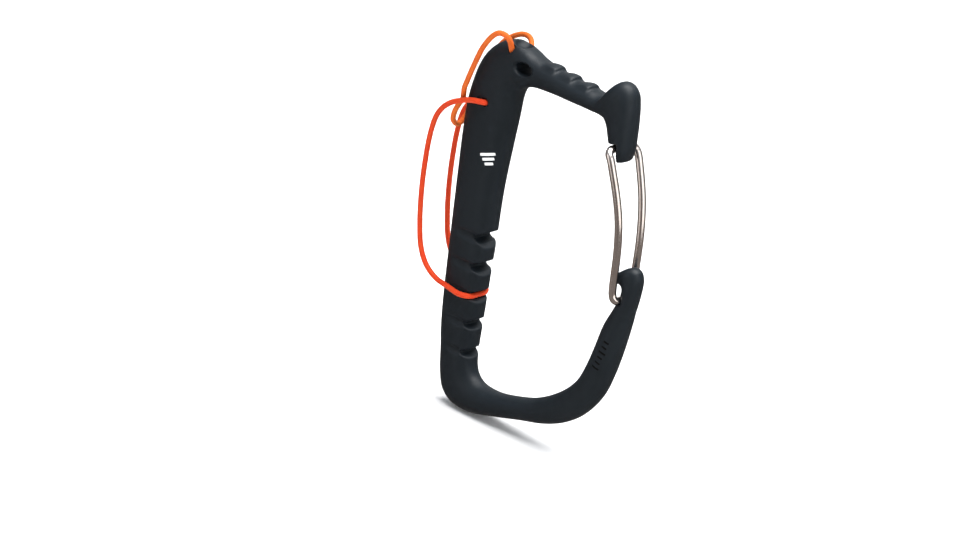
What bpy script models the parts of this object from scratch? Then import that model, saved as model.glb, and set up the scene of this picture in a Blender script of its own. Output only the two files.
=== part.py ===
"""Tool-holder carabiner for a climbing harness belt.

A moulded frame carries a sprung wire gate and two loops of elastic cord that tie it to the belt.
The frame lies in the XZ plane: +X runs from the belt side to the gate, +Z points up along the spine,
and Y is the thickness. The origin is on the flat face that rests against the belt.
Every length below is in millimetres and is turned into metres by MM.
"""

import math

import bpy
import numpy as np
from mathutils import Vector

MM = 0.001

# Driving dimensions
GAP = 0.3
CORD_D = 2.2
WIRE_D = 3.2
SPINE_HALF = 6.5
ARM_HALF = 6.1
BORE_CLEARANCE = 0.45
CORD_BORE_R = CORD_D / 2 + BORE_CLEARANCE
SOCKET_R = WIRE_D / 2 + GAP

# Every cutter that goes right through the frame reaches this far from its middle plane
CUT_HALF = 12.0

# Tether hole through the frame's top corner, TETHER_WIDE times as wide as it is tall,
# and its radius where it flares at each face
TETHER_R = 2.5
TETHER_WIDE = 1.7
TETHER_X = 30.2
TETHER_Z = 63.2
TETHER_PLAIN_HALF = 5.0
TETHER_FLARE_HALF = 9.0
TETHER_FLARE_R = 4.4

# Gate hinge, a line along Y through the lower arm's head
PIVOT_X = 91.6
PIVOT_Z = -13.9
SOCKET_WEB = 1.5

# The round bay under the beak
BAY_X = 90.1
BAY_Z = -9.7
BAY_R = 2.0

# The flat face that rests against the belt, at x = 0
BELT_FACE_LOW_Z = -60.0
BELT_FACE_HIGH_Z = 52.0

# Strap notches down the inner edge of the spine
NOTCH_PITCH = 12.8
NOTCH_TOP_Z = -13.2
NOTCH_COUNT = 5
NOTCH_FLOOR_X = 14.4
CORD_NOTCH_Z = NOTCH_TOP_Z - 2 * NOTCH_PITCH - 0.1

# One notch, in order around it: how far each corner lies beyond the notch floor and above
# the notch's own height
NOTCH_CORNERS = [(0.0, -0.8), (3.2, -2.1), (5.0, -3.6), (8.6, -7.2), (8.6, 4.6), (0.0, 0.8), (-0.4, 0.0)]

# The hollow that runs on from a notch across each face: (x, height above the face, rise) at
# its shallow end and at its deep end, as the line of a round cutter of radius HOLLOW_R
HOLLOW_R = 3.5
HOLLOW_SHALLOW = (1.0, 3.4, 0.9)
HOLLOW_DEEP = (26.0, 1.2, -0.6)

# Nose: the tongue that the gate's closed end rests on, and the lip above it, which slopes
# down as the closed end does when it swings in
STEP_Z = 47.7
STEP_LOW_Z = 34.0
TONGUE_X = 81.5
LIP_REACH = 14.0
LIP_SLOPE = 0.19

# Thumb ridges on the top arm: raised pads that swell towards the nose and then drop.
# A pad takes up RIDGE_SHARE of the pitch, and its crest is at RIDGE_CREST of its own length.
RIDGE_START_X = 37.7
RIDGE_PITCH = 8.87
RIDGE_COUNT = 3
RIDGE_SHARE = 0.78
RIDGE_CREST = 0.7
RIDGE_HEIGHT = 1.35
RIDGE_HALF = 3.4
RIDGE_FLANK = 1.2

# Frame sections, from the nose tip over the top arm, down the spine and out to the gate head.
# Each is (outer x, outer z, inner x, inner z, half thickness, squareness of the section).
NOSE = [
    (83.8, 41.0, 77.8, 40.4, 5.0, 2.4),
    (84.7, 44.5, 76.7, 43.0, 5.7, 2.4),
    (84.9, 50.0, 74.8, 47.8, 6.0, 2.4),
    (84.8, 57.0, 73.2, 52.2, 6.2, 2.4),
    (84.4, 63.4, 71.6, 54.2, 6.2, 2.4),
    (83.2, 68.4, 70.4, 54.8, 6.2, 2.4),
    (80.2, 71.1, 69.4, 55.0, 6.2, 2.4),
    (76.4, 71.2, 68.6, 55.2, 6.2, 2.4),
    (73.4, 68.5, 67.8, 55.4, 6.2, 2.4),
    (71.3, 65.2, 66.8, 55.6, 6.2, 2.3),
]
TOP_ARM = [
    (68.6, 63.2, 64.6, 55.7, ARM_HALF, 2.2),
    (63.4, 64.0, 60.6, 55.9, ARM_HALF, 2.2),
    (56.0, 64.6, 54.0, 56.1, ARM_HALF, 2.2),
    (48.0, 65.7, 45.5, 56.4, ARM_HALF, 2.2),
    (40.5, 66.8, 38.5, 56.4, 6.2, 2.3),
    (33.8, 68.5, 33.5, 56.0, 6.3, 2.4),
]
SPINE = [
    (28.5, 70.6, 30.4, 55.1, SPINE_HALF, 2.6),
    (21.8, 72.2, 28.0, 53.9, SPINE_HALF, 2.7),
    (14.8, 70.2, 26.7, 52.6, SPINE_HALF, 2.8),
    (8.6, 65.2, 26.0, 51.0, SPINE_HALF, 2.8),
    (4.4, 58.5, 25.5, 48.8, SPINE_HALF, 2.8),
    (1.9, 51.0, 25.2, 46.4, SPINE_HALF, 2.8),
    (0.0, 42.0, 24.8, 41.2, SPINE_HALF, 2.8),
    (-0.7, 28.0, 23.2, 28.0, SPINE_HALF, 2.8),
    (-0.7, 8.0, 21.0, 8.0, SPINE_HALF, 2.8),
    (-0.7, -14.0, 20.1, -14.0, SPINE_HALF, 2.8),
    (-0.7, -36.0, 19.0, -36.0, 6.4, 2.8),
    (-0.3, -54.0, 18.2, -54.0, 6.3, 2.7),
    (1.0, -67.0, 17.9, -65.0, 6.2, 2.5),
]
LOWER_ARM = [
    (2.2, -78.0, 18.6, -70.6, 6.2, 2.4),
    (4.3, -84.8, 20.4, -73.8, 6.2, 2.3),
    (8.6, -88.7, 23.8, -76.0, 6.2, 2.2),
    (14.8, -90.1, 28.2, -76.8, 6.2, 2.2),
    (24.0, -89.5, 34.0, -76.7, 6.2, 2.2),
    (36.0, -86.5, 42.0, -75.0, ARM_HALF, 2.1),
    (49.0, -82.9, 51.5, -72.1, ARM_HALF, 2.1),
    (60.6, -79.9, 58.6, -68.6, ARM_HALF, 2.1),
    (69.8, -76.0, 64.3, -64.9, ARM_HALF, 2.1),
    (77.6, -70.6, 69.2, -60.9, ARM_HALF, 2.1),
    (83.6, -64.0, 73.0, -57.0, ARM_HALF, 2.1),
    (87.9, -57.0, 76.1, -52.6, ARM_HALF, 2.1),
    (91.3, -47.2, 79.2, -45.3, ARM_HALF, 2.1),
    (93.8, -37.0, 81.8, -37.0, 6.0, 2.1),
    (96.0, -25.5, 84.7, -26.6, 5.7, 2.1),
]
GATE_HEAD = [
    (97.1, -17.8, 88.0, -19.4, 5.0, 2.2),
    (98.1, -12.2, 90.4, -14.0, 4.5, 2.3),
    (98.8, -6.8, 90.8, -10.4, 4.3, 2.3),
    (98.8, -3.5, 89.8, -8.8, 4.2, 2.3),
    (97.6, -0.8, 88.6, -8.6, 4.2, 2.3),
    (95.0, 0.3, 87.6, -8.8, 4.2, 2.3),
    (91.8, -0.8, 86.8, -9.0, 4.1, 2.3),
    (88.6, -3.2, 86.0, -9.0, 4.0, 2.2),
    (86.2, -5.2, 85.1, -8.5, 3.5, 2.2),
]
SECTIONS = NOSE + TOP_ARM + SPINE + LOWER_ARM + GATE_HEAD
SECTION_SIDES = 20
SECTION_STEP = 1.1
SECTIONS_SKIPPED = 3
CLOSE_SECTIONS_END_X = 73.0

# A rounded end: the share of the end section's size, and how far beyond it
END_STEPS = [(0.82, 0.6), (0.45, 0.9)]
SMOOTH_ANGLE = math.radians(35)

# Elastic cord routes as (x, y, z), the near half only: the far half mirrors it in Y
BELT_CORD = [
    (13.4, -0.4, 44.4),
    (13.4, -3.4, 44.4),
    (12.8, -6.0, 44.3),
    (11.0, -7.6, 44.4),
    (8.6, -8.2, 44.2),
    (5.0, -8.2, 43.4),
    (1.0, -8.2, 41.9),
    (-3.2, -8.2, 40.0),
    (-7.4, -8.2, 36.8),
    (-10.8, -8.2, 32.0),
    (-13.0, -8.2, 24.0),
    (-14.2, -8.2, 12.0),
    (-14.4, -8.2, -2.0),
    (-13.4, -8.2, -15.0),
    (-11.2, -8.2, -25.6),
    (-7.0, -8.2, -32.2),
    (-1.0, -8.2, -35.9),
    (6.1, -8.2, -37.2),
    (11.8, -7.9, -38.3),
    (14.5, -6.4, -38.7),
    (15.8, -4.0, CORD_NOTCH_Z),
    (15.9, 0.0, CORD_NOTCH_Z),
]
TOP_CORD_NEAR = [
    (22.4, -0.4, 66.5),
    (22.3, -1.8, 66.5),
    (22.1, -3.3, 67.0),
    (21.9, -4.3, 68.3),
    (21.9, -5.0, 70.2),
    (22.0, -6.3, 72.6),
    (21.5, -7.6, 74.4),
    (20.0, -8.5, 75.3),
    (18.0, -8.8, 75.2),
    (16.2, -8.9, 74.2),
    (14.0, -8.8, 72.2),
    (10.1, -8.6, 66.8),
    (7.1, -8.5, 60.0),
    (4.1, -8.4, 52.1),
    (2.2, -7.8, 47.6),
    (0.8, -6.3, 44.4),
    (-0.4, -5.1, 42.0),
    (-2.2, -4.7, 39.4),
    (-4.2, -4.8, 35.4),
    (-5.6, -3.6, 31.0),
    (-6.0, 0.0, 28.6),
]
TOP_CORD_FAR = [
    (-5.8, 3.6, 31.0),
    (-5.0, 4.9, 35.6),
    (-4.4, 5.0, 39.3),
    (-3.9, 5.6, 41.6),
    (-2.9, 6.6, 45.4),
    (-1.6, 7.6, 49.6),
    (-0.2, 8.2, 54.6),
    (1.8, 8.4, 60.0),
    (4.1, 8.5, 63.8),
    (6.6, 8.5, 66.6),
    (9.3, 8.6, 68.7),
    (11.9, 8.7, 70.3),
    (14.8, 8.8, 71.5),
    (17.8, 8.6, 71.8),
    (20.2, 7.9, 71.3),
    (22.2, 6.6, 70.1),
    (23.3, 5.0, 68.7),
    (22.9, 2.8, 67.3),
    (22.4, 0.4, 66.8),
]
CORD_STEP = 3.8
BORE_STEP = 1.6

# Wire gate, half of it: closed end on the nose, down one leg, then in along the hinge
BAR_X = TONGUE_X - WIRE_D / 2 - GAP
BAR_Z = STEP_Z - WIRE_D / 2 - 0.7
GATE_HALF_WIRE = [
    (BAR_X, 0.0, BAR_Z),
    (BAR_X, -4.0, BAR_Z),
    (BAR_X + 0.3, -6.6, BAR_Z - 0.2),
    (BAR_X + 1.1, -8.0, BAR_Z - 1.5),
    (81.8, -8.2, 42.4),
    (84.2, -8.0, 36.2),
    (87.1, -7.5, 27.2),
    (88.9, -7.0, 19.0),
    (89.8, -6.7, 11.0),
    (90.1, -6.5, 4.0),
    (90.1, -6.4, -3.0),
    (90.2, -6.4, -8.0),
    (90.4, -6.3, -11.0),
    (90.9, -6.0, -12.9),
    (91.4, -5.1, -13.8),
    (PIVOT_X, -3.8, PIVOT_Z),
    (PIVOT_X, -SOCKET_WEB - 0.4, PIVOT_Z),
]
WIRE_STEP = 2.2


# ---------------------------------------------------------------------------------- tools


def clear_scene():
    for old in list(bpy.data.objects):
        bpy.data.objects.remove(old, do_unlink=True)


def plastic(name, color, roughness, metallic=0.0):
    """A Principled material of one colour."""
    mat = bpy.data.materials.new(name)
    mat.use_nodes = True
    shader = mat.node_tree.nodes["Principled BSDF"]
    shader.inputs["Base Color"].default_value = (*color, 1.0)
    shader.inputs["Roughness"].default_value = roughness
    shader.inputs["Metallic"].default_value = metallic
    mat.diffuse_color = (*color, 1.0)
    return mat


def through(rows, step):
    """Rows of numbers on one smooth curve through the given rows, about step apart.

    A centripetal Catmull-Rom curve. At most the first four numbers of a row set its spacing.
    """
    rows = np.array(rows, float)
    ends = np.vstack([2 * rows[0] - rows[1], rows, 2 * rows[-1] - rows[-2]])
    gaps = np.sqrt(np.linalg.norm(np.diff(ends[:, :4], axis=0), axis=1))
    knots = np.concatenate([[0], np.cumsum(gaps)])
    out = []
    for i in range(1, len(ends) - 2):
        t0, t1, t2, t3 = knots[i - 1 : i + 3]
        p0, p1, p2, p3 = ends[i - 1 : i + 3]
        count = max(1, round(gaps[i] ** 2 / step))
        for t in t1 + (t2 - t1) * np.arange(count) / count:
            a1 = (t1 - t) / (t1 - t0) * p0 + (t - t0) / (t1 - t0) * p1
            a2 = (t2 - t) / (t2 - t1) * p1 + (t - t1) / (t2 - t1) * p2
            a3 = (t3 - t) / (t3 - t2) * p2 + (t - t2) / (t3 - t2) * p3
            b1 = (t2 - t) / (t2 - t0) * a1 + (t - t0) / (t2 - t0) * a2
            b2 = (t3 - t) / (t3 - t1) * a2 + (t - t1) / (t3 - t1) * a3
            out.append((t2 - t) / (t2 - t1) * b1 + (t - t1) / (t2 - t1) * b2)
    out.append(rows[-1])
    return np.array(out)


def superellipse(half, squareness, angle):
    """A point of a rounded section: its share of the section's width, from -1 to 1, and its y."""
    c, s = math.cos(angle), math.sin(angle)
    share = math.copysign(abs(c) ** (2 / squareness), c)
    return share, half * math.copysign(abs(s) ** (2 / squareness), s)


def mesh_object(name, verts, faces, material=None):
    mesh = bpy.data.meshes.new(name)
    mesh.from_pydata([tuple(v) for v in verts], [], faces)
    mesh.validate()
    obj = bpy.data.objects.new(name, mesh)
    bpy.context.scene.collection.objects.link(obj)
    if material:
        mesh.materials.append(material)
    return obj


def lofted(name, rings, material=None):
    """A closed skin over rings of equal length, with a fan at each end."""
    sides = len(rings[0])
    verts = [v for ring in rings for v in ring]
    faces = []
    for r in range(len(rings) - 1):
        for s in range(sides):
            a, b = r * sides + s, r * sides + (s + 1) % sides
            faces.append((a, b, b + sides, a + sides))
    for base, turn in ((0, -1), ((len(rings) - 1) * sides, 1)):
        verts.append(np.mean(rings[0 if base == 0 else -1], axis=0))
        tip = len(verts) - 1
        for s in range(sides):
            edge = (base + s, base + (s + 1) % sides)
            faces.append((*edge[::turn], tip))
    return mesh_object(name, verts, faces, material)


def cylinder(name, start, end, radius, sides=24):
    """A closed cylinder between two points."""
    start, end = Vector(start), Vector(end)
    along = (end - start).normalized()
    across = along.orthogonal().normalized()
    other = along.cross(across)
    rings = []
    for point in (start, end):
        ring = []
        for s in range(sides):
            a = 2 * math.pi * s / sides
            v = point + radius * (math.cos(a) * across + math.sin(a) * other)
            ring.append(np.array(v) * MM)
        rings.append(ring)
    return lofted(name, rings)


def turned(name, profile, sides=24):
    """A closed turned shape around the Y axis, from (y, radius) pairs."""
    angles = 2 * math.pi * np.arange(sides) / sides
    rings = []
    for y, radius in profile:
        ring = [radius * np.cos(angles), np.full(sides, y), -radius * np.sin(angles)]
        rings.append(np.array(ring).T * MM)
    return lofted(name, rings)


def box(name, low, high):
    xs, ys, zs = zip(low, high)
    corners = [(x, y, z) for x in xs for y in ys for z in zs]
    faces = [(0, 1, 3, 2), (4, 6, 7, 5), (0, 4, 5, 1), (2, 3, 7, 6), (0, 2, 6, 4), (1, 5, 7, 3)]
    return mesh_object(name, np.array(corners) * MM, faces)


def prism(name, profile, half):
    """A profile in the XZ plane, drawn anticlockwise seen from -Y, carried from -half to +half in Y."""
    n = len(profile)
    verts = [np.array((x, y, z)) * MM for y in (-half, half) for x, z in profile]
    faces = [tuple(range(n)), tuple(range(2 * n - 1, n - 1, -1))]
    faces += [((s + 1) % n, s, s + n, (s + 1) % n + n) for s in range(n)]
    return mesh_object(name, verts, faces)


def tube(name, line, diameter, resolution, material=None):
    """A round tube along a line of points, with filled ends."""
    curve = bpy.data.curves.new(name, "CURVE")
    curve.dimensions = "3D"
    curve.bevel_depth = diameter / 2 * MM
    curve.bevel_resolution = resolution
    curve.use_fill_caps = True
    spline = curve.splines.new("POLY")
    spline.points.add(len(line) - 1)
    for point, place in zip(spline.points, line):
        point.co = (*(np.array(place) * MM), 1.0)
    if material:
        curve.materials.append(material)
    obj = bpy.data.objects.new(name, curve)
    bpy.context.scene.collection.objects.link(obj)
    return obj


def swept(name, line, radius, sides=16):
    """A closed round tube of flat facets along a line of points, as a mesh."""
    line = np.array(line, float)
    along = np.gradient(line, axis=0)
    along /= np.linalg.norm(along, axis=1)[:, None]
    across = np.array(Vector(along[0]).orthogonal().normalized())
    rings = []
    for point, way in zip(line, along):
        across = across - way * across.dot(way)
        across /= np.linalg.norm(across)
        other = np.cross(way, across)
        angles = 2 * math.pi * np.arange(sides) / sides
        ring = point + radius * (np.outer(np.cos(angles), across) + np.outer(np.sin(angles), other))
        rings.append(ring * MM)
    return lofted(name, rings)


def cut(body, cutter):
    """Takes the cutter's shape out of the body, and hides the cutter."""
    cutter.hide_render = True
    cutter.display_type = "WIRE"
    step = body.modifiers.new(cutter.name, "BOOLEAN")
    step.operation = "DIFFERENCE"
    step.solver = "EXACT"
    step.object = cutter


# ---------------------------------------------------------------------------------- frame


def ridge_height(x):
    """How far the thumb ridges stand above the arm at x."""
    place = (x - RIDGE_START_X) / RIDGE_PITCH
    share = place % 1 / RIDGE_SHARE
    if not 0 < place < RIDGE_COUNT or share >= 1:
        return 0.0
    if share < RIDGE_CREST:
        return RIDGE_HEIGHT * math.sin(share / RIDGE_CREST * math.pi / 2)
    fall = (share - RIDGE_CREST) / (1 - RIDGE_CREST)
    return RIDGE_HEIGHT * math.sqrt(1 - fall**4)


def ridge_width(y):
    """A ridge's share of its height at y: whole over its middle, and none past its flanks."""
    return min(1.0, max(0.0, (RIDGE_HALF + RIDGE_FLANK - abs(y)) / RIDGE_FLANK))


def frame_rings():
    """Rings of points around the frame's bar, close together along the ridges and up to the nose."""
    rings = []
    for i, (ox, oz, ix, iz, half, squareness) in enumerate(through(SECTIONS, SECTION_STEP)):
        close = oz > 0 and RIDGE_START_X < ox < CLOSE_SECTIONS_END_X
        if not close and i % SECTIONS_SKIPPED:
            continue
        height = ridge_height(ox) if close else 0.0
        centre = np.array([(ox + ix) / 2, 0, (oz + iz) / 2])
        reach = np.array([(ox - ix) / 2, 0, (oz - iz) / 2])
        outwards = reach / np.linalg.norm(reach)
        ring = []
        for s in range(SECTION_SIDES):
            share, y = superellipse(half, squareness, 2 * math.pi * s / SECTION_SIDES)
            lift = height * ridge_width(y) if share > 0 else 0.0
            ring.append((centre + reach * share + outwards * lift + np.array([0, y, 0])) * MM)
        rings.append(ring)
    return rings


def rounded_end(ring, towards):
    """Two shrunken copies of an end ring, moved outwards, that round off the end."""
    ring = np.array(ring)
    middle = ring.mean(axis=0)
    out = np.array(towards, float) / np.linalg.norm(towards)
    return [
        middle + (ring - middle) * scale + out * reach * MM
        for scale, reach in END_STEPS
    ]


def cut_belt_face(body):
    low = (-6, -CUT_HALF, BELT_FACE_LOW_Z)
    cut(body, box("cut_belt_face", low, (0, CUT_HALF, BELT_FACE_HIGH_Z)))


def cut_notches(body):
    """Five hooked notches for the elastic, and the shallow hollows that run on across the faces."""
    for i in range(NOTCH_COUNT):
        z = NOTCH_TOP_Z - i * NOTCH_PITCH
        profile = [(NOTCH_FLOOR_X + dx, z + dz) for dx, dz in NOTCH_CORNERS]
        cut(body, prism(f"cut_notch_{i}", profile, CUT_HALF))
        for side in (-1, 1):
            start, end = [
                (x, side * (SPINE_HALF + above), z + rise)
                for x, above, rise in (HOLLOW_SHALLOW, HOLLOW_DEEP)
            ]
            cut(body, cylinder(f"cut_hollow_{i}_{side}", start, end, HOLLOW_R, sides=20))


def cut_nose_step(body):
    lip_x = TONGUE_X - LIP_REACH
    profile = [
        (lip_x, STEP_LOW_Z),
        (TONGUE_X, STEP_LOW_Z),
        (TONGUE_X, STEP_Z),
        (lip_x, STEP_Z - LIP_SLOPE * LIP_REACH),
    ]
    cut(body, prism("cut_nose_step", profile, CUT_HALF))


def cut_head(body):
    """The round bay under the beak, and a blind socket for each end of the wire."""
    cut(body, cylinder("cut_bay", (BAY_X, -CUT_HALF, BAY_Z), (BAY_X, CUT_HALF, BAY_Z), BAY_R))
    for side in (-1, 1):
        inner = (PIVOT_X, side * SOCKET_WEB, PIVOT_Z)
        outer = (PIVOT_X, side * CUT_HALF, PIVOT_Z)
        cut(body, cylinder(f"cut_socket_{side}", inner, outer, SOCKET_R))


def cut_tether_hole(body):
    """An oval through hole that flares a little towards both faces."""
    flare = [
        (-TETHER_FLARE_HALF, TETHER_FLARE_R),
        (-TETHER_PLAIN_HALF, TETHER_R),
        (TETHER_PLAIN_HALF, TETHER_R),
        (TETHER_FLARE_HALF, TETHER_FLARE_R),
    ]
    hole = turned("cut_tether", flare)
    hole.scale = (TETHER_WIDE, 1, 1)
    hole.location = Vector((TETHER_X, 0, TETHER_Z)) * MM
    cut(body, hole)


def cut_cord_bores(body):
    """The bores that the two elastic loops pass through, and the groove for the belt loop's low end."""
    low = through(BELT_CORD[-6:], BORE_STEP)
    low = np.vstack([low, (low * (1, -1, 1))[-2::-1]])
    cut(body, swept("cut_low_groove", low, CORD_D / 2 + GAP))
    near = through(BELT_CORD[:7], BORE_STEP)
    line = np.vstack([near[::-1], near * (1, -1, 1)])
    cut(body, swept("cut_belt_bore", line, CORD_BORE_R))
    near = through(TOP_CORD_NEAR[:7], BORE_STEP)
    far = through(TOP_CORD_FAR[-5:], BORE_STEP)
    cut(body, swept("cut_top_bore", np.vstack([near[::-1], far[::-1]]), CORD_BORE_R))


def make_body(material):
    rings = frame_rings()
    tip = rounded_end(rings[0], (-0.15, 0, -1))
    beak = rounded_end(rings[-1], (-1, 0, -0.9))
    body = lofted("body", tip[::-1] + rings + beak, material)
    cut_belt_face(body)
    cut_notches(body)
    cut_nose_step(body)
    cut_head(body)
    cut_tether_hole(body)
    cut_cord_bores(body)
    body.data.shade_smooth()
    body.data.set_sharp_from_angle(angle=SMOOTH_ANGLE)
    return body


# ---------------------------------------------------------------------------------- moving and soft parts


def make_gate(material):
    """One bent wire. Its origin is on the hinge line."""
    near = through(GATE_HALF_WIRE, WIRE_STEP)
    line = np.vstack([near[::-1], (near * (1, -1, 1))[1:]])
    hinge = np.array([PIVOT_X, 0, PIVOT_Z])
    gate = tube("wire_gate", line - hinge, WIRE_D, 2, material)
    gate.location = Vector(hinge * MM)
    return gate


def make_belt_elastic(material):
    near = through(BELT_CORD, CORD_STEP)
    line = np.vstack([near, (near * (1, -1, 1))[-2::-1]])
    return tube("belt_elastic", line, CORD_D, 2, material)


def make_top_elastic(material):
    line = through(TOP_CORD_NEAR + TOP_CORD_FAR, CORD_STEP)
    return tube("top_elastic", line, CORD_D, 2, material)


def main():
    clear_scene()
    polyamide = plastic("frame_polyamide", (0.013, 0.017, 0.020), 0.5)
    steel = plastic("gate_steel", (0.72, 0.68, 0.62), 0.22, 1.0)
    elastic = plastic("orange_elastic", (0.85, 0.13, 0.03), 0.75)
    make_body(polyamide)
    make_gate(steel)
    make_belt_elastic(elastic)
    make_top_elastic(elastic)


main()
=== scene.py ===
import math

import bpy
import numpy as np
from mathutils import Matrix, Vector
from mathutils.bvhtree import BVHTree


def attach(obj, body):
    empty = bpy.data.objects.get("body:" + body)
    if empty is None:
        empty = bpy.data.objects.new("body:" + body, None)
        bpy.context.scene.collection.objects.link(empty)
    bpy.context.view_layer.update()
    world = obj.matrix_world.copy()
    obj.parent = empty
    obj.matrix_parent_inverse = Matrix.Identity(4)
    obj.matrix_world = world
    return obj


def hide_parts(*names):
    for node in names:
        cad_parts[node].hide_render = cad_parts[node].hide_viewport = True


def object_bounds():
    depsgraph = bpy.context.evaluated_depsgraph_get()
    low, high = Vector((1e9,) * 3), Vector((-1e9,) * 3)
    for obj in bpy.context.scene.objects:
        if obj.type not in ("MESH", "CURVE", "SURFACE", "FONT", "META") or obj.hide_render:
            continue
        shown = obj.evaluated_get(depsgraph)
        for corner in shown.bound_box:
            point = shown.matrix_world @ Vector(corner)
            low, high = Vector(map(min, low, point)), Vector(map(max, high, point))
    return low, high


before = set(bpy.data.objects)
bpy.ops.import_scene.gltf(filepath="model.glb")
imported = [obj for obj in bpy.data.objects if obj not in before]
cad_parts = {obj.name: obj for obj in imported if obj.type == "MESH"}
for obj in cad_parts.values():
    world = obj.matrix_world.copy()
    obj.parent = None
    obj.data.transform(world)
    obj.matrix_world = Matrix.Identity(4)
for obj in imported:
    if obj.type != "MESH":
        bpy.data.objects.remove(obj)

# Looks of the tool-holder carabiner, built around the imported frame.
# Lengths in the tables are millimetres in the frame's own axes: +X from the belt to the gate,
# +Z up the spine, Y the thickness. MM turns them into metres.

CAD_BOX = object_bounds()
MM = 0.001

# ------------------------------------------------------------------------------ dimensions

GAP = 0.3
CORD_D = 2.2
WIRE_D = 3.2
SPINE_HALF = 6.5
ARM_HALF = 6.1
BORE_CLEARANCE = 0.45
CORD_BORE_R = CORD_D / 2 + BORE_CLEARANCE
SOCKET_R = WIRE_D / 2 + GAP
SOCKET_WEB = 1.5

# Every cutter that goes right through the frame reaches this far from its middle plane.
CUT_HALF = 12.0

# Tether hole through the top corner, TETHER_WIDE times as wide as it is tall,
# with its radius at each y, in mirrored pairs.
TETHER_R = 2.5
TETHER_WIDE = 1.7
TETHER_X = 30.2
TETHER_Z = 63.2
TETHER_FLARE = [(9.0, 4.2), (6.4, 3.0), (5.2, TETHER_R)]

# The hollow between the two places where the top elastic comes out.
SADDLE_AT = (24.4, 0.2, 73.6)
SADDLE_RADII = (4.4, 5.4, 4.6)

# Gate hinge, a line along Y, and the round bay under the beak.
PIVOT_X = 91.6
PIVOT_Z = -13.9
BAY_X = 90.1
BAY_Z = -9.7
BAY_R = 2.0

# The flat face that rests against the belt, at x = 0.
BELT_FACE_LOW_Z = -60.0
BELT_FACE_HIGH_Z = 52.0

# Strap notches down the inner edge of the spine. NOTCH_CORNERS goes round one of them: how far
# each corner lies beyond the notch floor and above the notch's own height.
NOTCH_PITCH = 12.8
NOTCH_TOP_Z = -13.2
NOTCH_COUNT = 5
NOTCH_FLOOR_X = 14.4
NOTCH_CORNERS = [(0.0, -0.8), (3.2, -2.1), (5.0, -3.6), (8.6, -7.2), (8.6, 4.6), (0.0, 0.8), (-0.4, 0.0)]
CORD_NOTCH_Z = NOTCH_TOP_Z - 2 * NOTCH_PITCH - 0.1

# The hollow that runs on from a notch across each face is a slanting round cutter. Each end is
# (x, height above the face, height above the notch).
HOLLOW_R = 3.5
HOLLOW_SHALLOW = np.array((1.0, 3.4, 0.9))
HOLLOW_DEEP = np.array((26.0, 1.2, -0.6))

# Shallow groove in each face under the belt elastic.
GROOVE_R = 2.3

# Nose: the tongue that the gate's closed end rests on, and the sloping lip above it.
STEP_Z = 47.7
STEP_LOW_Z = 34.0
TONGUE_X = 81.5
LIP_REACH = 14.0
LIP_SLOPE = 0.19

# Thumb ridges on the top arm. A pad takes up RIDGE_SHARE of the pitch, and its crest is at
# RIDGE_CREST of its own length.
RIDGE_START_X = 37.7
RIDGE_PITCH = 8.87
RIDGE_COUNT = 3
RIDGE_SHARE = 0.78
RIDGE_CREST = 0.7
RIDGE_HEIGHT = 1.35
RIDGE_HALF = 3.2
RIDGE_FLANK = 1.5

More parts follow.
